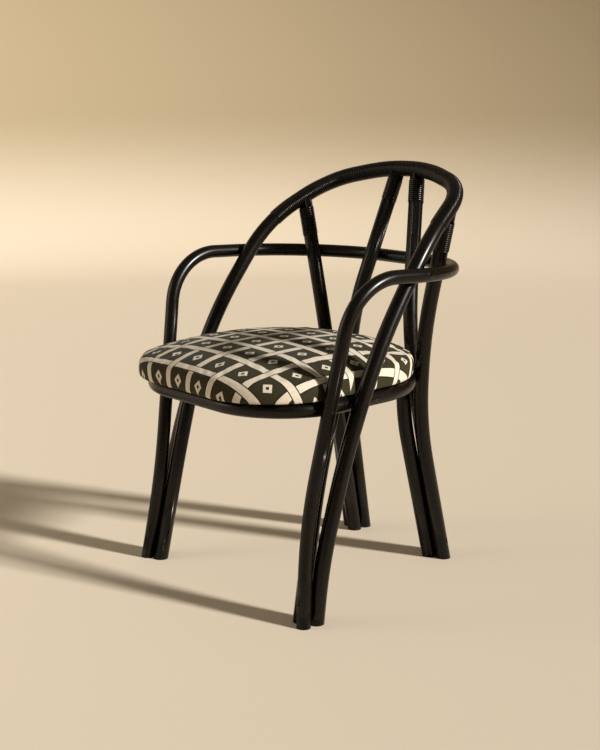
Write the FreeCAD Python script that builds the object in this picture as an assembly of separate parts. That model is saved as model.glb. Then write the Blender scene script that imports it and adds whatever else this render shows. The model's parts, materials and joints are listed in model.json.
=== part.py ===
import FreeCAD
import Part
import math
import os

V = FreeCAD.Vector

# A bent-cane dining armchair. Millimetres, +Z up, the front faces -Y, +X is the sitter's left.
# Lengths along Y are first measured from the middle of the seat ring, and every piece is moved
# by y_mid on export, so that the origin is the middle of the footprint on the floor.

# Poles
pole_d = 30.0            # hoop, posts, spindles and braces
rail_d = 27.0            # the slimmer pole of the arms
ring_d = 30.0            # seat ring
lap_gap = 0.8            # sideways room where two poles lie against each other
fit_gap = 0.3            # room at a coped end or between two skins
bend_share = 0.45        # part of each run that a bend may take

# Seat ring, on its centre line
ring_z = 398.0
seat_half_w = 227.0      # half width at the middle of the side
seat_mid_y = -26.0       # where that half width is measured
side_taper = 6.0         # degrees, narrower to the back
seat_front = 220.5
seat_back = 249.0
ring_corner_r = 146.0
ring_back_run = 36.0     # straight run left in the middle of the back, between the rear curves

# Back hoop: knees of one side, as distances from the ring's middle and heights; the upper part goes with the rail
hoop_foot_y = -134.0
hoop_knees_y = (-120.0, -61.0, 20.5, 151.5)
hoop_knees_z = (112.0, 320.0, 508.0)
hoop_draw_in = (0.5, 0.0, 1.0, 11.0)     # how far each knee stands in from the plane of the hoop's foot
shoulder_x = 200.0
shoulder_y = 290.0
crest_x = 59.0
crest_y = 335.0
top_knee_rise = 62.0     # heights above the arm rail
shoulder_rise = 148.5
crest_rise = 178.0

# Arm rail
rail_z = 630.0           # where it passes the hoop
rail_fall = 6.5          # from there to the back
arm_knee_y = -140.0
arm_knee_z = 185.0
arm_cross_y = -104.0     # where the front upright passes the ring
arm_bend_r = 115.0
foot_gap = 2.0           # room between the poles of one foot

# Rear posts and central spindles: angle at which each passes the ring's rear curve, and lean there
post_angle = 57.2
post_lean = (11.75, -7.5)      # sideways and back, over lean_rise
post_joint_share = 0.60        # place of the post's head on the hoop's shoulder run
spindle_angle = 69.6
spindle_lean = (-11.0, -7.0)
lean_rise = 96.0
spindle_top_x = 28.0
rear_foot_out = 4.0            # outside the place where the post passes the ring
rear_foot_y = 313.0
rear_foot_turn = 145.6         # direction from the post's foot to the spindle's foot, degrees
rear_foot_pitch = 31.4         # distance between poles in the rear foot

# Inner braces
rear_brace_angle = 63.6        # place under the ring's rear curve, degrees
rear_brace_inset = 2.2         # in from the ring's centre line
rear_brace_knee_y = 6.0        # knee behind the top
rear_brace_knee_z = 300.0
front_brace_knee_out = 14.8    # outside a line parallel to the foot of the arm
front_brace_knee_y = -104.0
front_brace_knee_z = 235.0
front_brace_inset = 11.8       # in from the ring's centre line
front_brace_top_y = -62.0
front_brace_step = 26.6        # sideways step from the hoop's foot to the brace's foot

# Cane binding
binding_t = 1.5
binding_start = 0.80           # place of its end on the bend below the shoulder
wire_d = 2.4                   # strand of the turned bindings
wind_pitch = 4.4
post_wind_turns = 13
spindle_wind_turns = 9
wind_start = 31.0              # from the hoop's centre line to the first turn
wind_gap = 0.3

# Seat pad
pad_front_over = 36.0          # beyond the ring's centre line
pad_side_over = 11.4
pad_back_over = 4.5
pad_crown_z = 484.0
pad_corner_fall = 41.0         # from the crown to the plan's unrounded front corner
pad_top_round = 31.0
pad_foot_round = 6.0
cover_t = 2.0
hem_width = 20.0               # the hem ends this far inside the ring's centre line
board_t = 12.0
dust_t = 1.0
dust_margin = 23.0             # inside the ring's centre line

# Screws
screw_d = 4.0
screw_head_d = 7.6
screw_head_t = 3.0
screw_room = 0.2               # round the shank and the head
screw_sink = 0.8               # head below the surface of the pole
screw_grip = 11.0              # depth in the second pole
leg_screw_z = 42.0
leg_screw_rise = 24.0          # between two screws that meet in one pole
seat_screw_x = 70.0
seat_screw_y = 10.0

# Derived values
taper = math.tan(math.radians(side_taper))
rail_back_z = rail_z - rail_fall
hoop_knees_z += (rail_z + top_knee_rise,)
shoulder_z = rail_z + shoulder_rise
crest_z = rail_z + crest_rise
ring_top = ring_z + ring_d / 2.0
pole_lap = (ring_d + pole_d) / 2.0 + lap_gap
rail_lap = (ring_d + rail_d) / 2.0 + lap_gap
rail_pole_lap = (pole_d + rail_d) / 2.0 + lap_gap
binding_r = pole_d / 2.0 + fit_gap + binding_t
saddle = pole_d / 4.0      # a coped head stops this far below the hoop's centre line
y_front = -(seat_front + pad_front_over)
y_back = crest_y + binding_r
y_mid = (y_front + y_back) / 2.0
sides = (("left", 1.0), ("right", -1.0))


def export(node, shape):
    """Write one piece, moved so that the footprint's middle is the origin."""
    moved = shape.copy()
    moved.translate(V(0.0, -y_mid, 0.0))
    moved.exportStep("parts/%s.step" % node)


def mirrored(shape):
    return shape.mirror(V(0, 0, 0), V(1, 0, 0))


def flip(point):
    return V(-point.x, point.y, point.z)


def tangent_arc(start, along, end):
    """The arc that leaves start in a given direction and ends at a point."""
    chord = end - start
    unit = V(chord).normalize()
    rise = along - unit * along.dot(unit)
    angle = along.getAngle(unit)
    middle = (start + end) * 0.5 + V(rise).normalize() * (chord.Length / 2.0 * math.tan(angle / 2.0))
    return Part.Arc(start, middle, end).toShape()


def bend_edges(points, radii=None):
    """Straight runs joined by tangent arcs, as large as the runs allow where no radius is given."""
    radii = radii or {}
    edges = []
    start = points[0]
    for i in range(1, len(points) - 1):
        back = V(points[i - 1] - points[i])
        ahead = V(points[i + 1] - points[i])
        half = (math.pi - back.getAngle(ahead)) / 2.0
        reach = bend_share * min(back.Length, ahead.Length)
        if i in radii:
            reach = radii[i] * math.tan(half)
        first = points[i] + back.normalize() * reach
        last = points[i] + ahead.normalize() * reach
        edges.append(Part.LineSegment(start, first).toShape())
        edges.append(tangent_arc(first, back * -1.0, last))
        start = last
    edges.append(Part.LineSegment(start, points[-1]).toShape())
    return edges


def tube(edges, radius):
    """A round solid along a path of tangent edges."""
    first = edges[0]
    start = first.valueAt(first.FirstParameter)
    along = first.tangentAt(first.FirstParameter)
    section = Part.Wire(Part.makeCircle(radius, start, along))
    return Part.Wire(edges).makePipe(Part.Face(section))


def rod(start, end, radius):
    return Part.makeCylinder(radius, (end - start).Length, start, end - start)


def below_floor(foot, above):
    """A foot's path starts under the floor and the pole is then cut off level."""
    along = V(above - foot).normalize()
    return foot - along * pole_d


floor_cut = Part.makeBox(2000, 2000, 200, V(-1000, -1000, -200))


# Plan of the seat: front line, two tapered sides and a back line, with rounded corners.
def side_x(y, over=0.0):
    return seat_half_w - (y - seat_mid_y) * taper + over / math.cos(math.radians(side_taper))


half_turn_back = math.radians(90.0 - side_taper) / 2.0
ring_shoulder_r = (side_x(seat_back) - ring_back_run / 2.0) / math.tan(half_turn_back)


def plan_edges(z, front, side, back):
    """Closed outline that lies front, side and back outside the ring's centre line."""
    y_f = -seat_front - front
    y_b = seat_back + back
    right = [V(side_x(y_f, side), y_f, z), V(side_x(y_b, side), y_b, z)]
    left = [flip(p) for p in right]
    start = V(0, y_f, z)
    corner = ring_corner_r + side
    shoulder = ring_shoulder_r + back
    radii = {1: corner, 2: shoulder, 3: shoulder, 4: corner}
    return bend_edges([start, right[0], right[1], left[1], left[0], start], radii)


def plan_solid(z_low, z_high, front, side, back):
    face = Part.Face(Part.Wire(plan_edges(z_low, front, side, back)))
    return face.extrude(V(0, 0, z_high - z_low))


shoulder_c = V(side_x(seat_back) - ring_shoulder_r * math.tan(half_turn_back), seat_back - ring_shoulder_r, ring_z)
corner_c = V(side_x(ring_corner_r - seat_front, -ring_corner_r), ring_corner_r - seat_front, ring_z)


def on_shoulder(angle):
    """Axis of a pole that lies against the ring's rear curve."""
    a = math.radians(angle)
    return shoulder_c + V(math.cos(a), math.sin(a), 0) * (ring_shoulder_r + pole_lap)


# Back hoop: both front feet, both sides and the crest in one pole.
cross_share = (ring_z - hoop_knees_z[1]) / (hoop_knees_z[2] - hoop_knees_z[1])
hoop_cross_y = hoop_knees_y[1] + (hoop_knees_y[2] - hoop_knees_y[1]) * cross_share
hoop_x = side_x(hoop_cross_y) + pole_lap
hoop_foot = V(hoop_x, hoop_foot_y, 0)
hoop_knees = [V(hoop_x - d, y, z) for d, y, z in zip(hoop_draw_in, hoop_knees_y, hoop_knees_z)]
shoulder = V(shoulder_x, shoulder_y, shoulder_z)
crest = V(crest_x, crest_y, crest_z)
hoop_half = [below_floor(hoop_foot, hoop_knees[0])] + hoop_knees + [shoulder, crest]
hoop_edges = bend_edges(hoop_half + [flip(p) for p in reversed(hoop_half)])
hoop_body = tube(hoop_edges, pole_d / 2.0)
hoop_room = tube(hoop_edges, pole_d / 2.0 + fit_gap)


def at_height(path, z):
    """Point of a path of edges, followed upwards, at a given height."""
    for edge in path:
        low = edge.valueAt(edge.FirstParameter)
        high = edge.valueAt(edge.LastParameter)
        if low.z <= z <= high.z:
            steps = 200
            span = edge.LastParameter - edge.FirstParameter
            marks = [edge.valueAt(edge.FirstParameter + span * i / steps) for i in range(steps + 1)]
            return min(marks, key=lambda p: abs(p.z - z))
    return path[-1].valueAt(path[-1].LastParameter)


# Rear posts: from the rear feet past the ring to the hoop's shoulders.
post_cross = on_shoulder(post_angle)
post_step = V(post_lean[0], post_lean[1], lean_rise)
post_head = hoop_knees[-1] + (shoulder - hoop_knees[-1]) * post_joint_share
post_foot = V(post_cross.x + rear_foot_out, rear_foot_y, 0)
post_points = [post_foot, post_cross - post_step, post_cross + post_step, post_head]
post_points[0] = below_floor(post_foot, post_points[1])
post_edges = bend_edges(post_points)

# Central spindles: from the rear feet past the ring to the crest.
spindle_cross = on_shoulder(spindle_angle)
spindle_step = V(spindle_lean[0], spindle_lean[1], lean_rise)
spindle_head = V(spindle_top_x, crest_y - fit_gap, crest_z)
foot_turn = math.radians(rear_foot_turn)
spindle_foot = post_foot + V(math.cos(foot_turn), math.sin(foot_turn), 0) * rear_foot_pitch
spindle_points = [spindle_foot, spindle_cross - spindle_step, spindle_cross + spindle_step, spindle_head]
spindle_points[0] = below_floor(spindle_foot, spindle_points[1])
spindle_edges = bend_edges(spindle_points)

# Arm rail: upright from the front foot, arm, and one sweep round the back outside every pole.
hoop_at_rail = at_height(hoop_edges, rail_z)
spindle_at_rail = at_height(spindle_edges, rail_back_z)
arm_x = hoop_at_rail.x + rail_pole_lap
spindle_rise = spindle_head - spindle_edges[-1].valueAt(spindle_edges[-1].FirstParameter)
spindle_slope = math.atan2(spindle_rise.y, spindle_rise.z)
rail_back_y = spindle_at_rail.y + rail_pole_lap / math.cos(spindle_slope)
rail_slope = rail_fall / (rail_back_y - hoop_at_rail.y)


def rail_height(y):
    """The rail lies in one plane that falls to the back."""
    return rail_z - (y - hoop_at_rail.y) * rail_slope


post_at_rail = at_height(post_edges, rail_height(at_height(post_edges, rail_z).y))
to_back = rail_back_y - post_at_rail.y
for _ in range(6):
    # The rear curve also touches the post, and may start in front of the hoop.
    to_side = arm_x - post_at_rail.x
    reach_sum = to_side + to_back - rail_pole_lap
    rail_back_r = reach_sum + math.sqrt(reach_sum ** 2 - to_side ** 2 - to_back ** 2 + rail_pole_lap ** 2)
    early = max(0.0, hoop_at_rail.y - rail_back_y + rail_back_r)
    arm_x = hoop_at_rail.x + rail_pole_lap + rail_back_r - math.sqrt(rail_back_r ** 2 - early ** 2)


def ring_x(y):
    """Half width of the ring's centre line in its front corner."""
    drop = min(0.0, y - corner_c.y)
    return corner_c.x + math.sqrt(ring_corner_r ** 2 - drop ** 2)


arm_cross = V(ring_x(arm_cross_y) + rail_lap, arm_cross_y, ring_z)
below = ring_z - arm_knee_z
arm_lean = (arm_cross_y - arm_knee_y) / below
above = (rail_height(arm_cross_y) - ring_z) / (1.0 + arm_lean * rail_slope)
arm_knee = V(arm_cross.x - (arm_x - arm_cross.x) * below / above, arm_knee_y, arm_knee_z)
arm_corner = arm_cross + (arm_cross - arm_knee) * (above / below)
arm_foot = V(hoop_foot.x, hoop_foot_y - (pole_d + rail_d) / 2.0 - foot_gap, 0)
rail_half = [below_floor(arm_foot, arm_knee), arm_knee, arm_corner, V(arm_x, rail_back_y, rail_back_z)]
rail_points = rail_half + [flip(p) for p in reversed(rail_half)]
rail_radii = {2: arm_bend_r, 3: rail_back_r, 4: rail_back_r, 5: arm_bend_r}
rail_edges = bend_edges(rail_points, rail_radii)
rail_body = tube(rail_edges, rail_d / 2.0)

# Seat ring
ring_edges = plan_edges(ring_z, 0.0, 0.0, 0.0)
ring_body = tube(ring_edges, ring_d / 2.0)
ring_room = tube(ring_edges, ring_d / 2.0 + fit_gap)

# Inner braces: each stands in its foot between the other two poles and is coped under the ring.
foot_mid = (post_foot + spindle_foot) * 0.5
foot_side = V(-math.sin(foot_turn), math.cos(foot_turn), 0)
rear_brace_foot = foot_mid + foot_side * (rear_foot_pitch * math.sqrt(0.75))
front_brace_foot = V(hoop_foot.x - front_brace_step, (hoop_foot.y + arm_foot.y) / 2.0, 0)


def brace_edges(foot, knee, top):
    return bend_edges([below_floor(foot, knee), knee, top])


rear_brace_way = V(math.cos(math.radians(rear_brace_angle)), math.sin(math.radians(rear_brace_angle)), 0)
rear_brace_top = shoulder_c + rear_brace_way * (ring_shoulder_r - rear_brace_inset)
rear_brace_knee = V(rear_brace_top.x, rear_brace_top.y + rear_brace_knee_y, rear_brace_knee_z)
rear_brace_edges = brace_edges(rear_brace_foot, rear_brace_knee, rear_brace_top)
front_brace_top = V(side_x(front_brace_top_y) - front_brace_inset, front_brace_top_y, ring_z)
front_brace_run = (arm_knee.x - arm_foot.x) * front_brace_knee_z / arm_knee_z
front_brace_knee_x = front_brace_foot.x + front_brace_run + front_brace_knee_out
front_brace_knee = V(front_brace_knee_x, front_brace_knee_y, front_brace_knee_z)
front_brace_edges = brace_edges(front_brace_foot, front_brace_knee, front_brace_top)
above_ring = Part.makeBox(2000, 2000, 400, V(-1000, -1000, ring_z))


def coped_brace(edges):
    body = tube(edges, pole_d / 2.0).cut(floor_cut).cut(ring_room).cut(above_ring)
    return max(body.Solids, key=lambda s: s.Volume)


def head_of(edges):
    """Where a post's axis meets the hoop's, and the way down the post."""
    run = edges[-1]
    head = run.valueAt(run.LastParameter)
    return head, V(run.valueAt(run.FirstParameter) - head).normalize()


def coped_post(edges):
    head, down = head_of(edges)
    horns = rod(head + down * saddle, head - down * pole_d, 2.0 * pole_d)
    body = tube(edges, pole_d / 2.0).cut([floor_cut, hoop_room, horns])
    return max(body.Solids, key=lambda s: s.Volume)


left_poles = {
    "rear_post": coped_post(post_edges),
    "back_spindle": coped_post(spindle_edges),
    "rear_brace": coped_brace(rear_brace_edges),
    "front_brace": coped_brace(front_brace_edges),
}

# Binding along the crest: a sleeve over the turns of cane, open where posts and spindles come in.
knee_bend = hoop_edges[7]
far_bend = hoop_edges[17]
bend_span = knee_bend.LastParameter - knee_bend.FirstParameter
bend_from = knee_bend.FirstParameter + bend_span * binding_start
bend_to = far_bend.LastParameter - bend_span * binding_start
first_bind = knee_bend.Curve.toShape(bend_from, knee_bend.LastParameter)
last_bind = far_bend.Curve.toShape(far_bend.FirstParameter, bend_to)
bind_path = Part.Wire([first_bind] + hoop_edges[8:17] + [last_bind])
bind_start = first_bind.valueAt(first_bind.FirstParameter)
bind_along = first_bind.tangentAt(first_bind.FirstParameter)
sleeve_rims = [Part.Wire(Part.makeCircle(r, bind_start, bind_along)) for r in (binding_r, binding_r - binding_t)]
binding = bind_path.makePipe(Part.Face(sleeve_rims))
for edges in (post_edges, spindle_edges):
    head, down = head_of(edges)
    entry = rod(head + down * (saddle - fit_gap), head + down * (2.0 * pole_d), pole_d / 2.0 + fit_gap)
    binding = binding.cut([entry, mirrored(entry)])
binding = max(binding.Solids, key=lambda s: s.Volume)


# Turned bindings at the heads of the posts and spindles: one strand wound as a helix.
def helix_point(base, axis, across, side, angle):
    radius = pole_d / 2.0 + wind_gap + wire_d / 2.0
    spoke = across * math.cos(angle) + side * math.sin(angle)
    return base + axis * (wind_pitch * angle / (2.0 * math.pi)) + spoke * radius


def helix_tangent(axis, across, side, angle):
    radius = pole_d / 2.0 + wind_gap + wire_d / 2.0
    turn = side * math.cos(angle) - across * math.sin(angle)
    return (turn * radius + axis * (wind_pitch / (2.0 * math.pi))).normalize()


def winding(edges, turns, name):
    top, axis = head_of(edges)
    across = V(axis.cross(V(0, 1, 0))).normalize()
    side = axis.cross(across)
    base = top + axis * wind_start
    step = math.pi
    arcs = []
    for i in range(2 * turns):
        a0, a1 = i * step, (i + 1) * step
        p0, p1 = (helix_point(base, axis, across, side, a) for a in (a0, a1))
        t0, t1 = (helix_tangent(axis, across, side, a) for a in (a0, a1))
        chord = p1 - p0
        spread = 2.0 * (1.0 - t0.dot(t1))
        pull = chord.dot(t0 + t1)
        reach = (math.sqrt(pull ** 2 + spread * chord.dot(chord)) - pull) / spread
        joint = (p0 + p1 + (t0 - t1) * reach) * 0.5
        arcs.append(tangent_arc(p0, t0, joint))
        back_arc = tangent_arc(p1, t1 * -1.0, joint)
        middle = back_arc.valueAt((back_arc.FirstParameter + back_arc.LastParameter) / 2.0)
        arcs.append(Part.Arc(joint, middle, p1).toShape())
    shell = Part.BRepOffsetAPI.MakePipeShell(Part.Wire(arcs))
    start = helix_point(base, axis, across, side, 0.0)
    shell.add(Part.Wire(Part.makeCircle(wire_d / 2.0, start, helix_tangent(axis, across, side, 0.0))))
    shell.build()
    shell.makeSolid()
    steps = 36
    marks = [helix_point(base, axis, across, side, 2.0 * math.pi * i / steps) for i in range(steps * turns)]
    near = min((marks[i] - marks[j]).Length for i in range(steps) for j in range(i + steps // 2, len(marks)))
    print("%s: least gap of the strand to itself %.2f mm" % (name, near - wire_d))
    return shell.shape()


post_binding = winding(post_edges, post_wind_turns, "rear post binding")
spindle_binding = winding(spindle_edges, spindle_wind_turns, "spindle binding")


# Seat pad: crowned top, rounded rim and drawn-in foot. inset makes the skins inside it.
pad_reach = math.hypot(side_x(-seat_front - pad_front_over, pad_side_over), seat_front + pad_front_over)
pad_crown_r = (pad_reach ** 2 + pad_corner_fall ** 2) / (2.0 * pad_corner_fall)


def pad_solid(inset):
    low = ring_top + fit_gap + inset
    body = plan_solid(low, pad_crown_z + cover_t, pad_front_over - inset, pad_side_over - inset, pad_back_over - inset)
    dome_r = pad_crown_r - inset
    dome = Part.makeSphere(dome_r, V(0, 0, pad_crown_z - pad_crown_r))
    body = body.common(dome)
    top = max(body.Faces, key=lambda f: f.CenterOfMass.z)
    foot = min(body.Faces, key=lambda f: f.CenterOfMass.z)
    body = body.makeFillet(pad_top_round - inset, top.Edges)
    foot = min(body.Faces, key=lambda f: f.CenterOfMass.z)
    return body.makeFillet(pad_foot_round - inset, foot.Edges)


pad_low = ring_top + fit_gap
board_low = pad_low + cover_t + fit_gap
board_in = cover_t + pad_foot_round
board_over = (pad_front_over - board_in, pad_side_over - board_in, pad_back_over - board_in)
board_body = plan_solid(board_low, board_low + board_t, *board_over)
board_room = plan_solid(board_low - fit_gap, board_low + board_t + fit_gap, *[o + fit_gap for o in board_over])
cavity = pad_solid(cover_t)
hem_hole = plan_solid(pad_low - cover_t, board_low + board_t, -hem_width, -hem_width, -hem_width)
cover_body = pad_solid(0.0).cut(cavity).cut(board_room).cut(hem_hole)
foam_body = pad_solid(cover_t + fit_gap).cut(board_room)
foam_body = max(foam_body.Solids, key=lambda s: s.Volume)
dust_body = plan_solid(board_low - dust_t, board_low, -dust_margin, -dust_margin, -dust_margin)


# Screws: the shank runs from a pole's outer side through it into the next piece.
def screw_set(axis_point, direction, radius, length):
    """One screw and the room that it needs, from a point on a pole's axis."""
    along = V(direction).normalize()
    head = axis_point - along * (radius - screw_sink)
    neck = head + along * screw_head_t
    tip = axis_point + along * length
    cone = Part.makeCone(screw_head_d / 2.0, screw_d / 2.0, screw_head_t, head, along)
    body = cone.fuse(rod(neck, tip, screw_d / 2.0)).removeSplitter()
    mouth = axis_point - along * (radius + 2.0)
    room = rod(mouth, tip + along * screw_room, screw_d / 2.0 + screw_room)
    wide = screw_head_d / 2.0 + screw_room
    room = room.fuse(rod(mouth, head, wide))
    room = room.fuse(Part.makeCone(wide, screw_d / 2.0 + screw_room, screw_head_t, head, along))
    return body, room


def nearest_on(edges, point):
    """Nearest point of a path to a point."""
    best = None
    for edge in edges:
        away, pairs, _ = edge.distToShape(Part.Vertex(point))
        if best is None or away < best[0]:
            best = (away, pairs[0][0])
    return best[1]


screws = {"hoop_screws": [], "ring_screws": [], "rail_screws": [], "brace_screws": [], "leg_screws": [],
          "seat_screws": []}
rooms = []


def add_screw(group, axis_point, direction, radius, length):
    body, room = screw_set(axis_point, direction, radius, length)
    for shape in (body, room):
        shape_pair = (shape, mirrored(shape))
        if shape is body:
            screws[group].extend(shape_pair)
        else:
            rooms.extend(shape_pair)


def lap_screw(group, outer_point, outer_r, inner_edges, inner_r):
    """A screw from the outer side of one pole into the pole that it lies against."""
    inner = nearest_on(inner_edges, outer_point)
    way = inner - outer_point
    add_screw(group, outer_point, way, outer_r, way.Length - inner_r + screw_grip)


# Heads of posts and spindles: down through the hoop.
for edges in (post_edges, spindle_edges):
    head_point, down = head_of(edges)
    add_screw("hoop_screws", head_point, down, pole_d / 2.0, pole_d / 2.0 + 2.0 * screw_grip)

# Poles that pass the seat ring.
hoop_cross = at_height(hoop_edges, ring_z)
for point, radius in ((hoop_cross, pole_d / 2.0), (arm_cross, rail_d / 2.0),
                      (post_cross, pole_d / 2.0), (spindle_cross, pole_d / 2.0)):
    lap_screw("ring_screws", point, radius, ring_edges, ring_d / 2.0)

# The arm rail against hoop, posts and spindles.
for edges in (hoop_edges[:8], post_edges, spindle_edges):
    pole_point = at_height(edges, rail_height(at_height(edges, rail_z).y))
    rail_point = nearest_on(rail_edges, pole_point)
    lap_screw("rail_screws", rail_point, rail_d / 2.0, edges, pole_d / 2.0)

# Braces: down through the ring into the coped ends.
for edges in (rear_brace_edges, front_brace_edges):
    end = edges[-1].valueAt(edges[-1].LastParameter)
    ring_point = nearest_on(ring_edges, end)
    knee_end = edges[-1].valueAt(edges[-1].FirstParameter)
    add_screw("brace_screws", ring_point, knee_end - ring_point, ring_d / 2.0, ring_d / 2.0 + 2.0 * screw_grip)

# Feet: each bundle is pinned low down, where its poles still lie together.
front_brace_low = at_height(front_brace_edges, leg_screw_z)
arm_low = at_height(rail_edges, leg_screw_z)
post_low = at_height(post_edges, leg_screw_z)
spindle_low = at_height(spindle_edges, leg_screw_z + leg_screw_rise)
lap_screw("leg_screws", arm_low, rail_d / 2.0, hoop_edges[:4], pole_d / 2.0)
lap_screw("leg_screws", at_height(front_brace_edges, leg_screw_z + leg_screw_rise), pole_d / 2.0, hoop_edges[:4], pole_d / 2.0)
lap_screw("leg_screws", post_low, pole_d / 2.0, rear_brace_edges, pole_d / 2.0)
lap_screw("leg_screws", spindle_low, pole_d / 2.0, rear_brace_edges, pole_d / 2.0)

# Seat board: up through the ring and the hem.
board_grip = fit_gap * 2.0 + cover_t + board_t * 0.7
for spot in (V(seat_screw_x, -seat_front, ring_z), V(side_x(seat_screw_y), seat_screw_y, ring_z)):
    add_screw("seat_screws", nearest_on(ring_edges, spot), V(0, 0, 1), ring_d / 2.0, ring_d / 2.0 + board_grip)


def drilled(shape):
    """Cut the room of every screw that reaches a piece."""
    box = shape.BoundBox
    near = [r for r in rooms if box.intersect(r.BoundBox)]
    body = shape.cut(near) if near else shape
    return max(body.Solids, key=lambda s: s.Volume)


os.makedirs("parts", exist_ok=True)
export("back_hoop", drilled(hoop_body.cut(floor_cut)))
export("arm_rail", drilled(rail_body.cut(floor_cut)))
export("seat_ring", drilled(ring_body))
for name, body in left_poles.items():
    for label, sign in sides:
        export("%s_%s" % (name, label), drilled(body if sign > 0 else mirrored(body)))
export("hoop_binding", binding)
for name, body in (("rear_post_binding", post_binding), ("spindle_binding", spindle_binding)):
    for label, sign in sides:
        export("%s_%s" % (name, label), body if sign > 0 else mirrored(body))
export("seat_board", drilled(board_body))
export("seat_foam", foam_body)
export("seat_cover", drilled(cover_body))
export("dust_cover", dust_body)
for group, bodies in screws.items():
    export(group, Part.makeCompound(bodies))
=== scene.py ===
import bpy
import json
import math
from mathutils import Matrix, Vector, kdtree

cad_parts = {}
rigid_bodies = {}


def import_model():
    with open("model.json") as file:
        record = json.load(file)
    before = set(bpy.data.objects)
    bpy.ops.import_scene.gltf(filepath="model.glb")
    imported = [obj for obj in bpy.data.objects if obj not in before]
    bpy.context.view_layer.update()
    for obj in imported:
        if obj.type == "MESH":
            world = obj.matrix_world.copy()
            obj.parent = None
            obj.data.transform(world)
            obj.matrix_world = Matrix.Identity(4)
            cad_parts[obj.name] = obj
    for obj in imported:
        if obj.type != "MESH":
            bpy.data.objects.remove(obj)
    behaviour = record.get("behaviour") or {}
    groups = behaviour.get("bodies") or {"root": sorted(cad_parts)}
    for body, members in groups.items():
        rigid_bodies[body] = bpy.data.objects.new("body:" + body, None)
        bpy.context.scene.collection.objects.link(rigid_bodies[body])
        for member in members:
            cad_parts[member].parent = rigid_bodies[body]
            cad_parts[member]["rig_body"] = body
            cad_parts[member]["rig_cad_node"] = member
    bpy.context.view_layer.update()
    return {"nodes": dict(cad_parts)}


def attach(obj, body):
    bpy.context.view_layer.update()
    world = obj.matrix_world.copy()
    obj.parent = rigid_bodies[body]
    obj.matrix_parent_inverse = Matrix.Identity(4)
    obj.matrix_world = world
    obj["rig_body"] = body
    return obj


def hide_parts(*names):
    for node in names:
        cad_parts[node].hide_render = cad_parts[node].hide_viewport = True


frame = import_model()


# ---------------------------------------------------------------------------
# Cane poles: hoop, arm rail, seat ring, posts, spindles and braces.
# Peeled rattan poles, steamed and bent round formers, sanded, stained black and finished
# with satin lacquer; they lap and are coped to each other and screwed where they cross.
# ---------------------------------------------------------------------------
def deselect():
    if bpy.context.object and bpy.context.object.mode != "OBJECT":
        bpy.ops.object.mode_set(mode="OBJECT")
    bpy.ops.object.select_all(action="DESELECT")


def only(piece):
    deselect()
    piece.select_set(True)
    bpy.context.view_layer.objects.active = piece
    return piece


bend_share = 0.45        # part of the shorter run beside it that a bend takes up


def bent_line(name, points, radii={}, closed=False):
    """A pole's centre line: straight runs joined by round bends, with no thickness."""
    spots = [Vector(p) for p in points]
    marks = [] if closed else [(spots[0], None, None)]
    for i, knee in enumerate(spots):
        if not closed and i in (0, len(spots) - 1):
            continue
        back = spots[i - 1] - knee
        ahead = spots[(i + 1) % len(spots)] - knee
        turn = math.pi - back.angle(ahead)
        reach = bend_share * min(back.length, ahead.length)
        if i in radii:
            reach = radii[i] * math.tan(turn / 2.0)
        back.normalize()
        ahead.normalize()
        grip = reach * (1.0 - math.tan(turn / 4.0) / math.tan(turn / 2.0) * 4.0 / 3.0)
        marks.append((knee + back * reach, None, knee + back * grip))
        marks.append((knee + ahead * reach, knee + ahead * grip, None))
    if not closed:
        marks.append((spots[-1], None, None))
    line = bpy.data.curves.new(name, "CURVE")
    line.dimensions = "3D"
    line.twist_mode = "MINIMUM"
    line.resolution_u = 24
    spline = line.splines.new("BEZIER")
    spline.use_cyclic_u = closed
    spline.bezier_points.add(len(marks) - 1)
    for i, (place, before, after) in enumerate(marks):
        mark = spline.bezier_points[i]
        mark.handle_left_type = mark.handle_right_type = "FREE"
        mark.co = place
        mark.handle_left = before or place.lerp(marks[i - 1][0], 1.0 / 3.0)
        mark.handle_right = after or place.lerp(marks[(i + 1) % len(marks)][0], 1.0 / 3.0)
    route = bpy.data.objects.new(name, line)
    bpy.context.scene.collection.objects.link(route)
    return route


def stations(route):
    """Points along the route with a frame that turns as little as it can."""
    mesh = bpy.data.meshes.new_from_object(route)
    spots = [v.co.copy() for v in mesh.vertices]
    bpy.data.meshes.remove(mesh)
    rows, side, length = [], None, 0.0
    for i, spot in enumerate(spots):
        ahead = (spots[min(i + 1, len(spots) - 1)] - spots[max(i - 1, 0)]).normalized()
        if side is None:
            side = ahead.orthogonal()
        side = (side - ahead * side.dot(ahead)).normalized()
        if i:
            length += (spot - spots[i - 1]).length
        rows.append((spot, ahead, side.copy(), ahead.cross(side), length))
    return rows


grain_shift, grain_start = 0.37, 1.9     # how far apart two poles' grains are taken, across and along


def straightened(piece, rows, seed):
    """Gives each point its place on the pole before it was bent, so the grain follows the bends."""
    tree = kdtree.KDTree(len(rows))
    for i, row in enumerate(rows):
        tree.insert(row[0], i)
    tree.balance()
    place = piece.data.attributes.new("pole", "FLOAT_VECTOR", "POINT")
    for v in piece.data.vertices:
        spot, ahead, side, across, length = rows[tree.find(v.co)[1]]
        off = v.co - spot
        place.data[v.index].vector = (off.dot(side) + grain_shift * seed, off.dot(across),
                                      length + off.dot(ahead) + grain_start * seed)


same_spot = 0.00001      # points closer than this are one


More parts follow.
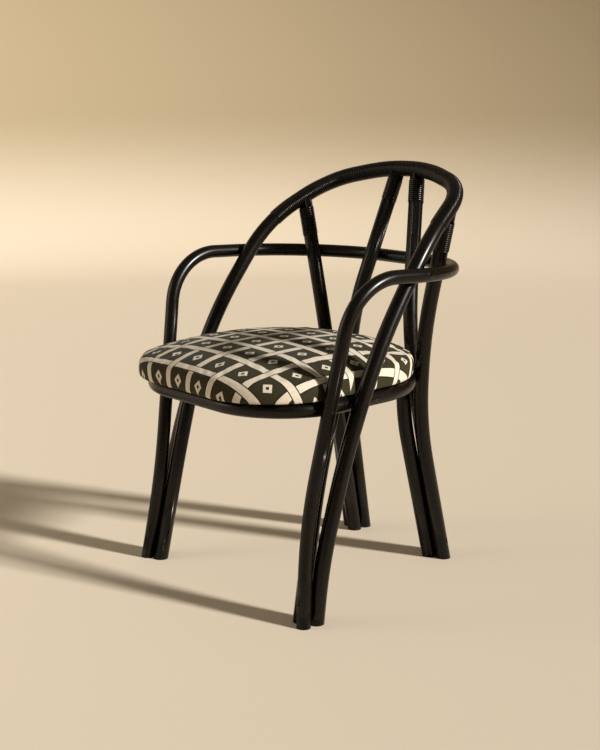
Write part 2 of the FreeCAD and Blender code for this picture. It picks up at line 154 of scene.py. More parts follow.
def bare_copy(node, name):
    """A copy of a node's solid with its skin merged and no ties to the frame."""
    deselect()
    twin = frame["nodes"][node].copy()
    twin.data = frame["nodes"][node].data.copy()
    twin.parent = None
    twin.name = name
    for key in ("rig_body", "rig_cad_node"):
        if key in twin:
            del twin[key]
    bpy.context.scene.collection.objects.link(twin)
    only(twin)
    bpy.ops.object.mode_set(mode="EDIT")
    bpy.ops.mesh.select_all(action="SELECT")
    bpy.ops.mesh.remove_doubles(threshold=same_spot)
    bpy.ops.object.mode_set(mode="OBJECT")
    twin.data.materials.clear()
    return twin


def cane_pole(node, points, seed, radii={}, closed=False):
    """One pole: the node's own solid with smooth shading and a grain that follows its bends."""
    pole = bare_copy(node, node + "_pole")
    bpy.ops.object.shade_smooth_by_angle(angle=math.radians(38))
    route = bent_line(node + "_route", points, radii, closed)
    straightened(pole, stations(route), seed)
    bpy.data.objects.remove(route)
    pole.data.materials.append(lacquered_cane)
    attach(pole, "root")
    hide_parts(node)
    return pole


def cane_grain_group():
    """Fine fibres along the pole, slow tone changes and the faint rings where leaf stems grew."""
    group = bpy.data.node_groups.new("cane_grain", "ShaderNodeTree")
    face = group.interface
    face.new_socket("Place", in_out="INPUT", socket_type="NodeSocketVector")
    for name, value in (("Fibre width", 900.0), ("Ring spacing", 3.4)):
        face.new_socket(name, in_out="INPUT", socket_type="NodeSocketFloat").default_value = value
    for name in ("Fibres", "Tone", "Rings", "Scuffs"):
        face.new_socket(name, in_out="OUTPUT", socket_type="NodeSocketFloat")
    n, link = group.nodes, group.links.new
    given, put = n.new("NodeGroupInput"), n.new("NodeGroupOutput")

    stretch = n.new("ShaderNodeVectorMath")
    stretch.operation = "MULTIPLY"
    stretch.inputs[1].default_value = (1.0, 1.0, 0.018)
    link(given.outputs["Place"], stretch.inputs[0])
    fibres = n.new("ShaderNodeTexNoise")
    fibres.inputs["Detail"].default_value = 3.0
    fibres.inputs["Roughness"].default_value = 0.62
    link(stretch.outputs[0], fibres.inputs["Vector"])
    link(given.outputs["Fibre width"], fibres.inputs["Scale"])
    link(fibres.outputs["Fac"], put.inputs["Fibres"])

    slow = n.new("ShaderNodeVectorMath")
    slow.operation = "MULTIPLY"
    slow.inputs[1].default_value = (1.0, 1.0, 0.12)
    link(given.outputs["Place"], slow.inputs[0])
    tone = n.new("ShaderNodeTexNoise")
    tone.inputs["Scale"].default_value = 55.0
    tone.inputs["Detail"].default_value = 4.0
    link(slow.outputs[0], tone.inputs["Vector"])
    link(tone.outputs["Fac"], put.inputs["Tone"])

    split = n.new("ShaderNodeSeparateXYZ")
    link(given.outputs["Place"], split.inputs[0])
    wobble = n.new("ShaderNodeTexNoise")
    wobble.inputs["Scale"].default_value = 60.0
    wobble.inputs["Detail"].default_value = 1.0
    link(given.outputs["Place"], wobble.inputs["Vector"])
    along = n.new("ShaderNodeMath")
    along.operation = "MULTIPLY_ADD"
    along.inputs[1].default_value = 0.006
    link(wobble.outputs["Fac"], along.inputs[0])
    link(split.outputs["Z"], along.inputs[2])
    cells = n.new("ShaderNodeTexVoronoi")
    cells.voronoi_dimensions = "1D"
    link(along.outputs[0], cells.inputs["W"])
    link(given.outputs["Ring spacing"], cells.inputs["Scale"])
    ring = n.new("ShaderNodeMapRange")
    ring.interpolation_type = "SMOOTHSTEP"
    ring.inputs["From Min"].default_value = 0.0
    ring.inputs["From Max"].default_value = 0.014
    ring.inputs["To Min"].default_value = 1.0
    ring.inputs["To Max"].default_value = 0.0
    link(cells.outputs["Distance"], ring.inputs["Value"])
    link(ring.outputs["Result"], put.inputs["Rings"])

    scuffs = n.new("ShaderNodeTexNoise")
    scuffs.inputs["Scale"].default_value = 210.0
    scuffs.inputs["Detail"].default_value = 5.0
    scuffs.inputs["Roughness"].default_value = 0.7
    link(given.outputs["Place"], scuffs.inputs["Vector"])
    link(scuffs.outputs["Fac"], put.inputs["Scuffs"])
    return group


cane_grain = cane_grain_group()


def stained(name, dark, pale, low, high, coat, fibre_depth, straight=True):
    """Black-stained cane: brown shows a little through the lacquer along the fibres."""
    finish = bpy.data.materials.new(name)
    finish.use_nodes = True
    n, link = finish.node_tree.nodes, finish.node_tree.links.new
    shader = n["Principled BSDF"]
    grain = n.new("ShaderNodeGroup")
    grain.node_tree = cane_grain
    if straight:
        place = n.new("ShaderNodeAttribute")
        place.attribute_name = "pole"
        link(place.outputs["Vector"], grain.inputs["Place"])
    else:
        place = n.new("ShaderNodeTexCoord")
        link(place.outputs["Object"], grain.inputs["Place"])

    mixed = n.new("ShaderNodeMath")
    mixed.operation = "MULTIPLY"
    link(grain.outputs["Fibres"], mixed.inputs[0])
    link(grain.outputs["Tone"], mixed.inputs[1])
    ramp = n.new("ShaderNodeValToRGB")
    ramp.color_ramp.elements[0].position = 0.14
    ramp.color_ramp.elements[0].color = dark + (1.0,)
    ramp.color_ramp.elements[1].position = 0.42
    ramp.color_ramp.elements[1].color = pale + (1.0,)
    link(mixed.outputs[0], ramp.inputs["Fac"])
    ringed = n.new("ShaderNodeMix")
    ringed.data_type = "RGBA"
    ringed.inputs["B"].default_value = tuple(0.55 * c for c in dark) + (1.0,)
    link(grain.outputs["Rings"], ringed.inputs["Factor"])
    link(ramp.outputs["Color"], ringed.inputs["A"])
    link(ringed.outputs["Result"], shader.inputs["Base Color"])

    rough = n.new("ShaderNodeMapRange")
    rough.inputs["From Min"].default_value = 0.3
    rough.inputs["From Max"].default_value = 0.7
    rough.inputs["To Min"].default_value = low
    rough.inputs["To Max"].default_value = high
    link(grain.outputs["Scuffs"], rough.inputs["Value"])
    link(rough.outputs["Result"], shader.inputs["Roughness"])

    height = n.new("ShaderNodeMath")
    height.operation = "MULTIPLY_ADD"
    height.inputs[1].default_value = 0.9
    link(grain.outputs["Rings"], height.inputs[0])
    link(grain.outputs["Fibres"], height.inputs[2])
    bump = n.new("ShaderNodeBump")
    bump.inputs["Strength"].default_value = 0.2
    bump.inputs["Distance"].default_value = fibre_depth
    link(height.outputs[0], bump.inputs["Height"])
    link(bump.outputs["Normal"], shader.inputs["Normal"])
    shader.inputs["Specular IOR Level"].default_value = 0.21
    shader.inputs["Coat Weight"].default_value = coat
    shader.inputs["Coat Roughness"].default_value = 0.16
    return finish


fibre_relief = 0.0001
lacquered_cane = stained("lacquered_cane", dark=(0.0012, 0.0007, 0.0004), pale=(0.0052, 0.0029, 0.0014),
                         low=0.24, high=0.33, coat=0.04, fibre_depth=fibre_relief)

# Each route runs along the pole's middle, from the foot up, on the sitter's left.
hoop_side = [(0.2581, -0.1854, -0.0298), (0.2574, -0.1676, 0.1120), (0.2579, -0.1087, 0.3200),
             (0.2569, -0.0272, 0.5080), (0.2469, 0.1038, 0.6920), (0.2000, 0.2423, 0.7785),
             (0.0590, 0.2874, 0.8080)]
hoop_points = hoop_side + [(-x, y, z) for x, y, z in reversed(hoop_side)]
cane_pole("back_hoop", hoop_points, 1)

rail_side = [(0.2612, -0.2161, -0.0296), (0.2372, -0.1877, 0.1850), (0.2803, -0.1116, 0.6352),
             (0.2803, 0.2723, 0.6235)]
rail_points = rail_side + [(-x, y, z) for x, y, z in reversed(rail_side)]
arm_bend_r, rail_back_r = 0.115, 0.2309
cane_pole("arm_rail", rail_points, 2, {2: arm_bend_r, 3: rail_back_r, 4: rail_back_r, 5: arm_bend_r})

ring_z, ring_back_r, ring_front_r = 0.398, 0.200, 0.146
ring_corners = [(-0.1981, 0.2014, ring_z), (-0.2474, -0.2682, ring_z),
                (0.2474, -0.2682, ring_z), (0.1981, 0.2014, ring_z)]
cane_pole("seat_ring", ring_corners, 3,
          {0: ring_back_r, 1: ring_front_r, 2: ring_front_r, 3: ring_back_r}, closed=True)

post_side = [(0.1486, 0.2714, -0.0293), (0.1313, 0.2029, 0.3020), (0.1548, 0.1879, 0.4940),
             (0.2188, 0.1869, 0.7439)]
spindle_side = [(0.1223, 0.2888, -0.0294), (0.1095, 0.2247, 0.3020), (0.0875, 0.2107, 0.4940),
                (0.0280, 0.2870, 0.8080)]
rear_brace_side = [(0.1187, 0.2518, 0.0), (0.1060, 0.1845, 0.3000), (0.1060, 0.1785, 0.3980)]
front_brace_side = [(0.2313, -0.1969, 0.0), (0.2198, -0.1517, 0.2350), (0.2190, -0.1097, 0.3980)]
upright_poles = (("rear_post", post_side), ("back_spindle", spindle_side),
                 ("rear_brace", rear_brace_side), ("front_brace", front_brace_side))
for number, (name, side) in enumerate(upright_poles):
    for hand, sign in (("left", 1.0), ("right", -1.0)):
        points = [(sign * x, y, z) for x, y, z in side]
        cane_pole(name + "_" + hand, points, 4 + 2 * number + (sign < 0))


# ---------------------------------------------------------------------------
# Screws: countersunk wood screws of blackened steel, let in a little below the skin of the poles.
# Each group stays as it is in the frame and gets its finish.
# ---------------------------------------------------------------------------
def blackened_steel_material():
    """Oil-blackened steel, dull, with a mottled bloom."""
    steel = bpy.data.materials.new("blackened_steel")
    steel.use_nodes = True
    n, link = steel.node_tree.nodes, steel.node_tree.links.new
    shader = n["Principled BSDF"]
    place = n.new("ShaderNodeTexCoord")
    bloom = n.new("ShaderNodeTexNoise")
    bloom.inputs["Scale"].default_value = 900.0
    bloom.inputs["Detail"].default_value = 4.0
    link(place.outputs["Object"], bloom.inputs["Vector"])
    tint = n.new("ShaderNodeValToRGB")
    tint.color_ramp.elements[0].color = (0.0016, 0.0012, 0.0010, 1.0)
    tint.color_ramp.elements[1].color = (0.0070, 0.0058, 0.0046, 1.0)
    link(bloom.outputs["Fac"], tint.inputs["Fac"])
    link(tint.outputs["Color"], shader.inputs["Base Color"])
    rough = n.new("ShaderNodeMapRange")
    rough.inputs["To Min"].default_value = 0.48
    rough.inputs["To Max"].default_value = 0.70
    link(bloom.outputs["Fac"], rough.inputs["Value"])
    link(rough.outputs["Result"], shader.inputs["Roughness"])
    shader.inputs["Metallic"].default_value = 0.6
    shader.inputs["Specular IOR Level"].default_value = 0.2
    return steel


blackened_steel = blackened_steel_material()
for group in ("hoop_screws", "ring_screws", "rail_screws", "brace_screws", "leg_screws", "seat_screws"):
    for hold in frame["nodes"][group].material_slots:
        hold.material = blackened_steel


# ---------------------------------------------------------------------------
# Bindings: flat strips of split cane, stained with the frame and wound tight, turn against turn,
# round the whole crest of the hoop and round the heads of the posts and spindles.
# ---------------------------------------------------------------------------
strip_w, strip_t, strip_pitch = 0.0038, 0.0014, 0.0042
strip_seat = 0.01508     # radius of the pole under the strip
strip_round = 0.95       # how far the strip's outer edges are rounded, as a share of its thickness
steps_per_turn = 20


def wound_cane(name, turns, start):
    """A strip wound on an upright pole: its section is turned round the axis as it climbs."""
    deselect()
    bpy.ops.mesh.primitive_plane_add(size=1.0, location=(strip_seat + strip_t / 2.0, 0.0, start),
                                     rotation=(math.pi / 2.0, 0.0, 0.0))
    strip = bpy.context.object
    strip.name = name
    strip.scale = (strip_t, strip_w, 1.0)
    bpy.ops.object.transform_apply(location=True, rotation=True, scale=True)
    for v in strip.data.vertices:
        v.select = v.co.x > strip_seat + strip_t / 2.0
    for edge in strip.data.edges:
        edge.select = False
    for face in strip.data.polygons:
        face.select = False
    bpy.ops.object.mode_set(mode="EDIT")
    bpy.ops.mesh.select_mode(type="VERT")
    bpy.ops.mesh.bevel(offset=strip_round * strip_t, segments=3, affect="VERTICES")
    bpy.ops.mesh.select_all(action="SELECT")
    bpy.ops.mesh.delete(type="ONLY_FACE")
    bpy.ops.object.mode_set(mode="OBJECT")
    wind = strip.modifiers.new("wind", "SCREW")
    wind.axis = "Z"
    wind.angle = 2.0 * math.pi
    wind.screw_offset = strip_pitch
    wind.iterations = turns
    wind.steps = wind.render_steps = steps_per_turn
    wind.use_merge_vertices = False
    bpy.ops.object.modifier_apply(modifier="wind")
    return strip


def bound(strip, node):
    """Closes the strip's two ends and gives it its finish."""
    only(strip)
    bpy.ops.object.mode_set(mode="EDIT")
    bpy.ops.mesh.select_all(action="SELECT")
    bpy.ops.mesh.fill_holes(sides=12)
    bpy.ops.mesh.select_all(action="SELECT")
    bpy.ops.mesh.normals_make_consistent(inside=False)
    bpy.ops.object.mode_set(mode="OBJECT")
    bpy.ops.object.shade_smooth_by_angle(angle=math.radians(50))
    strip.data.materials.clear()
    strip.data.materials.append(bound_cane)
    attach(strip, "root")
    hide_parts(node)


bound_cane = stained("bound_cane", dark=(0.0014, 0.0008, 0.0005), pale=(0.0064, 0.0036, 0.0018),
                     low=0.21, high=0.33, coat=0.06, fibre_depth=fibre_relief, straight=False)

# The crest: wound straight, then laid along the bends of the hoop.
crest_start, crest_turns = 0.8326, 160      # its start is measured along the hoop, from the left foot
crest = wound_cane("crest_binding", crest_turns, crest_start)
hoop_line = bent_line("hoop_line", hoop_points)
lay = crest.modifiers.new("lay", "CURVE")
lay.object = hoop_line
lay.deform_axis = "POS_Z"
only(crest)
bpy.ops.object.modifier_apply(modifier="lay")
bpy.data.objects.remove(hoop_line)
bound(crest, "hoop_binding")

# Heads of the posts and spindles: wound straight, then set on the end of each pole, clear of the crest.
heads = (("rear_post", post_side, 0.0267, 14), ("spindle", spindle_side, 0.0242, 11))
for name, side, first, turns in heads:
    for hand, sign in (("left", 1.0), ("right", -1.0)):
        below, head = (Vector((sign * x, y, z)) for x, y, z in side[-2:])
        turned = (below - head).to_track_quat("Z", "Y").to_matrix().to_4x4()
        strip = wound_cane(name + "_head_binding_" + hand, turns, first)
        strip.matrix_world = Matrix.Translation(head) @ turned
        only(strip)
        bpy.ops.object.transform_apply(location=True, rotation=True, scale=True)
        bound(strip, name + "_binding_" + hand)


# ---------------------------------------------------------------------------
# Seat cushion: foam on the board, covered in a printed cotton that is pulled over the dome
# and stapled under the board; the cover is tight, with soft round sides and no piping.
# ---------------------------------------------------------------------------
def plain_weave_group():
    """Over-and-under threads of a plain weave as a height and a tone."""
    group = bpy.data.node_groups.new("plain_weave", "ShaderNodeTree")
    face = group.interface
    face.new_socket("Place", in_out="INPUT", socket_type="NodeSocketVector")
    threads = face.new_socket("Threads per metre", in_out="INPUT", socket_type="NodeSocketFloat")
    threads.default_value = 1100.0
    for name in ("Height", "Slub"):
        face.new_socket(name, in_out="OUTPUT", socket_type="NodeSocketFloat")
    n, link = group.nodes, group.links.new
    given, put = n.new("NodeGroupInput"), n.new("NodeGroupOutput")
    scaled = n.new("ShaderNodeVectorMath")
    scaled.operation = "SCALE"
    link(given.outputs["Place"], scaled.inputs[0])
    link(given.outputs["Threads per metre"], scaled.inputs["Scale"])
    split = n.new("ShaderNodeSeparateXYZ")
    link(scaled.outputs[0], split.inputs[0])
    waves = []
    for axis in ("X", "Y"):
        turn = n.new("ShaderNodeMath")
        turn.operation = "MULTIPLY"
        turn.inputs[1].default_value = math.pi
        link(split.outputs[axis], turn.inputs[0])
        wave = n.new("ShaderNodeMath")
        wave.operation = "SINE"
        link(turn.outputs[0], wave.inputs[0])
        waves.append(wave)
    product = n.new("ShaderNodeMath")
    product.operation = "MULTIPLY"
    link(waves[0].outputs[0], product.inputs[0])
    link(waves[1].outputs[0], product.inputs[1])
    lifted = n.new("ShaderNodeMath")
    lifted.operation = "MULTIPLY_ADD"
    lifted.inputs[1].default_value = 0.5
    lifted.inputs[2].default_value = 0.5
    link(product.outputs[0], lifted.inputs[0])
    link(lifted.outputs[0], put.inputs["Height"])
    long = n.new("ShaderNodeVectorMath")
    long.operation = "MULTIPLY"
    long.inputs[1].default_value = (1.0, 0.06, 1.0)
    link(given.outputs["Place"], long.inputs[0])
    slub = n.new("ShaderNodeTexNoise")
    slub.inputs["Scale"].default_value = 700.0
    slub.inputs["Detail"].default_value = 2.0
    link(long.outputs[0], slub.inputs["Vector"])
    link(slub.outputs["Fac"], put.inputs["Slub"])
    return group


plain_weave = plain_weave_group()


def printed_cotton_material():
    """A plain trellis: cream bands that pass over and under, with a small open lozenge in each gap."""
    ground, cream, outline = (0.030, 0.026, 0.010), (0.66, 0.59, 0.48), (0.010, 0.009, 0.006)
    repeat, band, edge = 0.070, 0.25, 0.016      # repeat in metres, band and outline as shares of it
    lozenge_size, lozenge_line = 0.115, 0.055
    cloth = bpy.data.materials.new("printed_cotton")
    cloth.use_nodes = True
    n, link = cloth.node_tree.nodes, cloth.node_tree.links.new
    shader = n["Principled BSDF"]
    uv = n.new("ShaderNodeUVMap")
    uv.uv_map = "cloth"
    repeats = n.new("ShaderNodeMapping")
    repeats.inputs["Scale"].default_value = (1.0 / repeat, 1.0 / repeat, 1.0)
    link(uv.outputs["UV"], repeats.inputs["Vector"])
    split = n.new("ShaderNodeSeparateXYZ")
    link(repeats.outputs["Vector"], split.inputs[0])

    def calc(operation, a, b=None, c=None):
        step = n.new("ShaderNodeMath")
        step.operation = operation
        for socket, value in zip(step.inputs, (a, b, c)):
            if isinstance(value, (int, float)):
                socket.default_value = value
            elif value is not None:
                link(value, socket)
        return step.outputs[0]

    def from_middle(value):
        return calc("ABSOLUTE", calc("SUBTRACT", calc("FRACT", value), 0.5))

    u, v = split.outputs["X"], split.outputs["Y"]
    far_u, far_v = from_middle(u), from_middle(v)
    in_u, in_v = calc("LESS_THAN", far_u, band / 2.0), calc("LESS_THAN", far_v, band / 2.0)
    line_u, line_v = calc("COMPARE", far_u, band / 2.0, edge), calc("COMPARE", far_v, band / 2.0, edge)
    over = calc("FLOORED_MODULO", calc("ADD", calc("FLOOR", u), calc("FLOOR", v)), 2.0)
    under = calc("SUBTRACT", 1.0, over)
    bands = calc("MAXIMUM", in_u, in_v)
    seen_u = calc("MULTIPLY", line_u, calc("SUBTRACT", 1.0, calc("MULTIPLY", in_v, under)))
    seen_v = calc("MULTIPLY", line_v, calc("SUBTRACT", 1.0, calc("MULTIPLY", in_u, over)))
    lines = calc("MAXIMUM", seen_u, seen_v)
    gap = calc("ADD", from_middle(calc("ADD", u, 0.5)), from_middle(calc("ADD", v, 0.5)))
    lozenge = calc("COMPARE", gap, lozenge_size, lozenge_line)
    pale = calc("MAXIMUM", bands, lozenge)

    weave = n.new("ShaderNodeGroup")
    weave.node_tree = plain_weave
    link(uv.outputs["UV"], weave.inputs["Place"])
    inked = n.new("ShaderNodeMix")
    inked.data_type = "RGBA"
    inked.inputs["A"].default_value = ground + (1.0,)
    inked.inputs["B"].default_value = cream + (1.0,)
    link(pale, inked.inputs["Factor"])
    lined = n.new("ShaderNodeMix")
    lined.data_type = "RGBA"
    lined.inputs["B"].default_value = outline + (1.0,)
    link(lines, lined.inputs["Factor"])
    link(inked.outputs["Result"], lined.inputs["A"])
    faded = n.new("ShaderNodeMix")
    faded.data_type = "RGBA"
    faded.blend_type = "MULTIPLY"
    faded.inputs["Factor"].default_value = 0.35
    link(lined.outputs["Result"], faded.inputs["A"])
    link(weave.outputs["Slub"], faded.inputs["B"])
    link(faded.outputs["Result"], shader.inputs["Base Color"])
    bump = n.new("ShaderNodeBump")
    bump.inputs["Strength"].default_value = 0.4
    bump.inputs["Distance"].default_value = 0.0003
    link(weave.outputs["Height"], bump.inputs["Height"])
    link(bump.outputs["Normal"], shader.inputs["Normal"])
    shader.inputs["Roughness"].default_value = 0.82
    shader.inputs["Specular IOR Level"].default_value = 0.12
    shader.inputs["Sheen Weight"].default_value = 0.04
    shader.inputs["Sheen Roughness"].default_value = 0.5
    return cloth


# The pad as the upholsterer fills it: board and foam in one skin, held at the staples and along the sides.
pad_middle, pad_crown, dome_r = -0.04765, 0.484, 1.664
skin_voxel, swell_frames, most_swell = 0.005, 20, 0.006
staple_z, foam_edge_z = 0.4175, 0.456
grips = ((0.0, staple_z, 1.0), (staple_z, foam_edge_z, 0.30), (foam_edge_z, 1.0, 0.04))
layers = [bare_copy(node, node + "_layer") for node in ("seat_foam", "seat_board", "seat_cover")]
deselect()
for layer in layers:
    layer.select_set(True)
cushion = layers[-1]
bpy.context.view_layer.objects.active = cushion
bpy.ops.object.join()
cushion.name = "seat_cushion"
only(cushion)
skin = cushion.modifiers.new("skin", "REMESH")
skin.mode = "VOXEL"
skin.voxel_size = skin_voxel
bpy.ops.object.modifier_apply(modifier="skin")
even = cushion.modifiers.new("even", "SMOOTH")
even.factor, even.iterations = 0.5, 3
bpy.ops.object.modifier_apply(modifier="even")

held = cushion.vertex_groups.new(name="held")
for low, high, grip in grips:
    held.add([v.index for v in cushion.data.vertices if low <= v.co.z < high], grip, "REPLACE")
before = [v.co.copy() for v in cushion.data.vertices]
swell = cushion.modifiers.new("swell", "CLOTH")
swell.settings.quality = 6
swell.settings.mass = 0.3
swell.settings.tension_stiffness = swell.settings.compression_stiffness = 14.0
swell.settings.shear_stiffness = 8.0
swell.settings.bending_stiffness = 0.6
swell.settings.use_pressure = True
swell.settings.uniform_pressure_force = 4.0
swell.settings.vertex_group_mass = "held"
swell.settings.effector_weights.gravity = 0.0
swell.point_cache.frame_start, swell.point_cache.frame_end = 1, swell_frames
for step in range(1, swell_frames + 1):
    bpy.context.scene.frame_set(step)
only(cushion)
bpy.ops.object.modifier_apply(modifier="swell")
bpy.context.scene.frame_set(1)
for v, start in zip(cushion.data.vertices, before):
    move = v.co - start
    if move.length > most_swell:
        v.co = start + move * (most_swell / move.length)
cushion.vertex_groups.clear()
finer = cushion.modifiers.new("finer", "SUBSURF")
finer.levels = finer.render_levels = 1
bpy.ops.object.modifier_apply(modifier="finer")
bpy.ops.object.shade_smooth()


plan_front, plan_back, plan_taper = -0.2205, 0.249, math.radians(6.0)
plan_half, plan_half_y = 0.227, -0.026      # half the seat's width, and where it is measured


def seat_plan(name, front, side, back):
    """The seat's plan, that far outside the ring's centre line: straight front, tapered sides, round back."""
    y_front, y_back = plan_front - front, plan_back + back
    corners = []
    for sign, y in ((-1.0, y_back), (-1.0, y_front), (1.0, y_front), (1.0, y_back)):
        half = plan_half - (y - plan_half_y) * math.tan(plan_taper) + side / math.cos(plan_taper)
        corners.append((sign * half, y + pad_middle, 0.0))
    back_r, front_r = ring_back_r + back, ring_front_r + side
    outline = bent_line(name, corners, {0: back_r, 1: front_r, 2: front_r, 3: back_r}, closed=True)
    outline.data.dimensions = "2D"
    outline.data.fill_mode = "BOTH"
    return outline


def recess(name, plan, low, high):
    """Takes the room of the board, or the opening inside the hem, out of the pad's underside."""
    room = seat_plan(name, *plan)
    room.data.extrude = (high - low) / 2.0
    room.location.z = (high + low) / 2.0
    only(room)
    bpy.ops.object.convert(target="MESH")
    room = bpy.context.object
    bpy.ops.object.transform_apply(location=True, rotation=True, scale=True)
    bpy.ops.object.mode_set(mode="EDIT")
    bpy.ops.mesh.select_all(action="SELECT")
    bpy.ops.mesh.remove_doubles(threshold=same_spot)
    bpy.ops.mesh.normals_make_consistent(inside=False)
    bpy.ops.object.mode_set(mode="OBJECT")
    cut = cushion.modifiers.new(name, "BOOLEAN")
    cut.operation = "DIFFERENCE"
    cut.solver = "EXACT"
    cut.object = room
    only(cushion)
    bpy.ops.object.modifier_apply(modifier=name)
    bpy.data.objects.remove(room)


board_bottom, board_top, board_play = 0.4156, 0.4276, 0.0003
board_over = (0.0283, 0.0037, -0.0032)      # front, side and back, outside the ring's centre line
hem, under_pad = 0.020, 0.400
recess("board_room", board_over, board_bottom - board_play, board_top + board_play)
recess("hem_opening", (-hem, -hem, -hem), under_pad, board_bottom)

# The cloth lies flat on the dome and is drawn down over the sides, where it gathers a little.
gather, dome_slack = 0.85, 0.002
cloth_map = cushion.data.uv_layers.new(name="cloth")
for loop in cushion.data.loops:
    co = cushion.data.vertices[loop.vertex_index].co
    out = Vector((co.x, co.y - pad_middle))
    fall = max(0.0, pad_crown - out.length_squared / (2.0 * dome_r) - co.z - dome_slack)
    cloth_map.data[loop.index].uv = out + out.normalized() * fall * gather
cushion.data.materials.clear()
cushion.data.materials.append(printed_cotton_material())
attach(cushion, "root")
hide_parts("seat_cover", "seat_foam")


# ---------------------------------------------------------------------------
# Seat board: birch plywood under the foam, screwed to the ring from below.
# It stays as it is in the frame and gets its finish.
# ---------------------------------------------------------------------------
def plywood_material():
    """Birch face veneer with drawn-out grain, and thin plies along the edge."""
    ply = bpy.data.materials.new("birch_plywood")
    ply.use_nodes = True
    n, link = ply.node_tree.nodes, ply.node_tree.links.new
    shader = n["Principled BSDF"]
    place = n.new("ShaderNodeTexCoord")
    drawn = n.new("ShaderNodeMapping")
    drawn.inputs["Scale"].default_value = (60.0, 5.0, 900.0)
    link(place.outputs["Object"], drawn.inputs["Vector"])
    grain = n.new("ShaderNodeTexNoise")
    grain.inputs["Scale"].default_value = 1.0
    grain.inputs["Detail"].default_value = 5.0
    link(drawn.outputs["Vector"], grain.inputs["Vector"])
    tint = n.new("ShaderNodeValToRGB")
    tint.color_ramp.elements[0].position = 0.3
    tint.color_ramp.elements[0].color = (0.36, 0.235, 0.125, 1.0)
    tint.color_ramp.elements[1].position = 0.7
    tint.color_ramp.elements[1].color = (0.60, 0.45, 0.28, 1.0)
    link(grain.outputs["Fac"], tint.inputs["Fac"])
    link(tint.outputs["Color"], shader.inputs["Base Color"])
    bump = n.new("ShaderNodeBump")
    bump.inputs["Strength"].default_value = 0.25
    bump.inputs["Distance"].default_value = 0.0003
    link(grain.outputs["Fac"], bump.inputs["Height"])
    link(bump.outputs["Normal"], shader.inputs["Normal"])
    shader.inputs["Roughness"].default_value = 0.68
    return ply


plywood = plywood_material()
for hold in frame["nodes"]["seat_board"].material_slots:
    hold.material = plywood


# ---------------------------------------------------------------------------
# Dust cloth: thin black felted cloth stapled to the underside of the board, inside the cover's hem.
# It is cut to the seat's plan, pulled flat, and hangs a little in the middle.
# ---------------------------------------------------------------------------
def dust_cloth_material():
    """Black felted cloth: pressed fibres in all directions with a faint dotted embossing."""
    felt = bpy.data.materials.new("dust_felt")
    felt.use_nodes = True
    n, link = felt.node_tree.nodes, felt.node_tree.links.new
    shader = n["Principled BSDF"]
    place = n.new("ShaderNodeTexCoord")
    fibres = n.new("ShaderNodeTexNoise")
    fibres.inputs["Scale"].default_value = 650.0
    fibres.inputs["Detail"].default_value = 6.0
    fibres.inputs["Distortion"].default_value = 1.5
    link(place.outputs["Object"], fibres.inputs["Vector"])
    dots = n.new("ShaderNodeTexVoronoi")
    dots.inputs["Scale"].default_value = 420.0
    dots.inputs["Randomness"].default_value = 0.1
    link(place.outputs["Object"], dots.inputs["Vector"])
    tint = n.new("ShaderNodeValToRGB")
    tint.color_ramp.elements[0].position = 0.3
    tint.color_ramp.elements[0].color = (0.010, 0.010, 0.011, 1.0)
    tint.color_ramp.elements[1].position = 0.75
    tint.color_ramp.elements[1].color = (0.045, 0.043, 0.041, 1.0)
    link(fibres.outputs["Fac"], tint.inputs["Fac"])
    link(tint.outputs["Color"], shader.inputs["Base Color"])
    height = n.new("ShaderNodeMath")
    height.operation = "MULTIPLY_ADD"
    height.inputs[1].default_value = 0.6
    link(dots.outputs["Distance"], height.inputs[0])
    link(fibres.outputs["Fac"], height.inputs[2])
    bump = n.new("ShaderNodeBump")
    bump.inputs["Strength"].default_value = 0.5
    bump.inputs["Distance"].default_value = 0.0003
    link(height.outputs[0], bump.inputs["Height"])
    link(bump.outputs["Normal"], shader.inputs["Normal"])
    shader.inputs["Roughness"].default_value = 0.92
    shader.inputs["Sheen Weight"].default_value = 0.15
    return felt


dust_t, dust_margin, dust_sag, dust_step = 0.0008, 0.0235, 0.0035, 0.036
dust_gap = 0.0002        # from the board
outline = seat_plan("dust_cloth", -dust_margin, -dust_margin, -dust_margin)
only(outline)
bpy.ops.object.convert(target="MESH")
dust = bpy.context.object
dust.name = "dust_cloth"
faces_down = dust.data.polygons[-1].normal.z < 0.0
bpy.ops.object.mode_set(mode="EDIT")
bpy.ops.mesh.select_mode(type="FACE")
bpy.ops.mesh.select_all(action="SELECT")
bpy.ops.mesh.remove_doubles(threshold=same_spot)
if not faces_down:
    bpy.ops.mesh.flip_normals()
bpy.ops.mesh.dissolve_limited(angle_limit=math.radians(0.5))
for share in (0.42, 0.28, 0.18, 0.12):
    bpy.ops.mesh.inset(thickness=dust_step, depth=dust_sag * share)
bpy.ops.object.mode_set(mode="OBJECT")
for v in dust.data.vertices:
    v.co.z += board_bottom - dust_gap
rounder = dust.modifiers.new("rounder", "SUBSURF")
rounder.levels = rounder.render_levels = 1
bpy.ops.object.modifier_apply(modifier="rounder")
thick = dust.modifiers.new("thick", "SOLIDIFY")
thick.thickness = dust_t
thick.offset = 1.0
bpy.ops.object.modifier_apply(modifier="thick")
bpy.ops.object.shade_smooth_by_angle(angle=math.radians(40))
dust.data.materials.clear()
dust.data.materials.append(dust_cloth_material())
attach(dust, "root")
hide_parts("dust_cover")


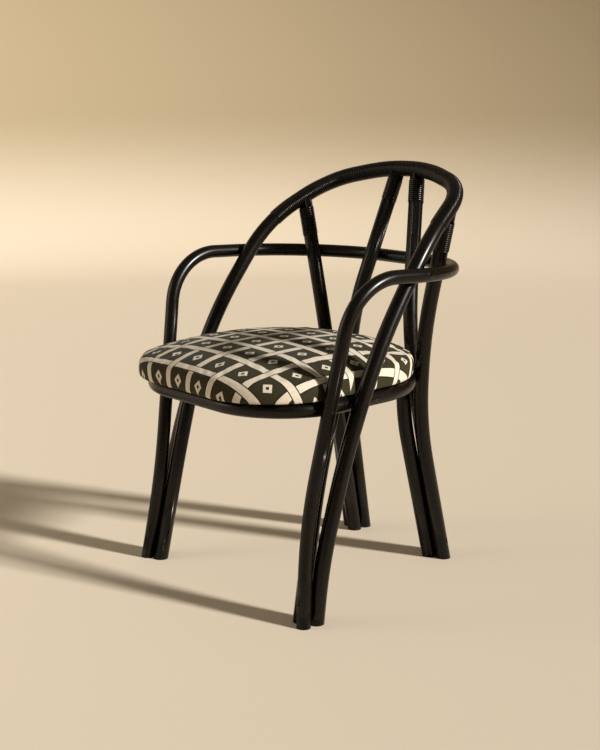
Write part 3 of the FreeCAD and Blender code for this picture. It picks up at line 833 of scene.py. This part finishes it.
# ---------------------------------------------------------------------------
# Floor, light and camera: a plain pale floor that rises into a pale backdrop, one soft even
# light from the right of the chair, a weaker one from the left and a soft sky.
# ---------------------------------------------------------------------------
deselect()
floor_r, cove_r, cove_steps, wall_top = 4.6, 2.0, 12, 5.0
bpy.ops.mesh.primitive_circle_add(vertices=128, radius=floor_r, fill_type="NGON")
floor = bpy.context.object
floor.name = "floor"
bpy.ops.object.mode_set(mode="EDIT")
bpy.ops.mesh.select_mode(type="EDGE")
bpy.ops.mesh.select_all(action="SELECT")
reach, rise = floor_r, 0.0
for turn in [math.pi / 2.0 * i / cove_steps for i in range(1, cove_steps + 1)] + [None]:
    new_reach, new_rise = floor_r + cove_r, wall_top
    if turn:
        new_reach, new_rise = floor_r + cove_r * math.sin(turn), cove_r * (1.0 - math.cos(turn))
    bpy.ops.mesh.extrude_edges_move(TRANSFORM_OT_translate={"value": (0.0, 0.0, new_rise - rise)})
    bpy.ops.transform.resize(value=(new_reach / reach, new_reach / reach, 1.0), center_override=(0.0, 0.0, 0.0))
    reach, rise = new_reach, new_rise
bpy.ops.object.mode_set(mode="OBJECT")
bpy.ops.object.shade_smooth_by_angle(angle=math.radians(30))
# The floor's colour darkens smoothly with height, from floor_tone on the floor to backdrop_tone at backdrop_z
# and above.
floor_tone, backdrop_tone = (0.66, 0.58, 0.465, 1.0), (0.34, 0.275, 0.18, 1.0)
backdrop_z = 0.9         # height at which the floor's tone has become the backdrop's
paper = bpy.data.materials.new("pale_floor")
paper.use_nodes = True
n, link = paper.node_tree.nodes, paper.node_tree.links.new
place, split = n.new("ShaderNodeTexCoord"), n.new("ShaderNodeSeparateXYZ")
link(place.outputs["Object"], split.inputs[0])
height = n.new("ShaderNodeMapRange")
height.interpolation_type = "SMOOTHSTEP"
height.inputs["From Max"].default_value = backdrop_z
link(split.outputs["Z"], height.inputs["Value"])
tint = n.new("ShaderNodeMix")
tint.data_type = "RGBA"
tint.inputs["A"].default_value = floor_tone
tint.inputs["B"].default_value = backdrop_tone
link(height.outputs["Result"], tint.inputs["Factor"])
link(tint.outputs["Result"], n["Principled BSDF"].inputs["Base Color"])
n["Principled BSDF"].inputs["Roughness"].default_value = 0.95
n["Principled BSDF"].inputs["Specular IOR Level"].default_value = 0.1
floor.data.materials.append(paper)
floor.visible_shadow = False     # the wall lets the low light in

sky = bpy.data.worlds.new("studio")
sky.use_nodes = True
sky.node_tree.nodes["Background"].inputs["Color"].default_value = (0.95, 0.88, 0.77, 1.0)
sky.node_tree.nodes["Background"].inputs["Strength"].default_value = 0.20
bpy.context.scene.world = sky


lamps_aim = Vector((0.0, 0.0, 0.45))


def studio_lamp(name, kind, place, power, colour):
    """A lamp aimed at the middle of the chair."""
    lamp = bpy.data.lights.new(name, kind)
    lamp.energy = power
    lamp.color = colour
    holder = bpy.data.objects.new(name, lamp)
    bpy.context.scene.collection.objects.link(holder)
    holder.location = place
    holder.rotation_euler = (lamps_aim - Vector(place)).to_track_quat("-Z", "Y").to_euler()
    return lamp


key = studio_lamp("key", "SUN", (4.70, 2.00, 2.65), 6.3, (1.0, 0.96, 0.90))
key.angle = math.radians(6.0)
fill = studio_lamp("fill", "AREA", (-1.9, -2.8, 1.7), 22.0, (1.0, 0.97, 0.93))
fill.size = 1.6

photo_width, focal_pixels = 600.0, 1356.8
deselect()
bpy.ops.object.camera_add(location=(2.0607, -1.71685, 0.9507),
                          rotation=(math.radians(78.501), 0.0, math.radians(50.311)))
camera = bpy.context.object
camera.data.sensor_fit = "HORIZONTAL"
camera.data.sensor_width = 36.0
camera.data.lens = focal_pixels * camera.data.sensor_width / photo_width
bpy.context.scene.camera = camera
bpy.context.scene.view_settings.view_transform = "Standard"
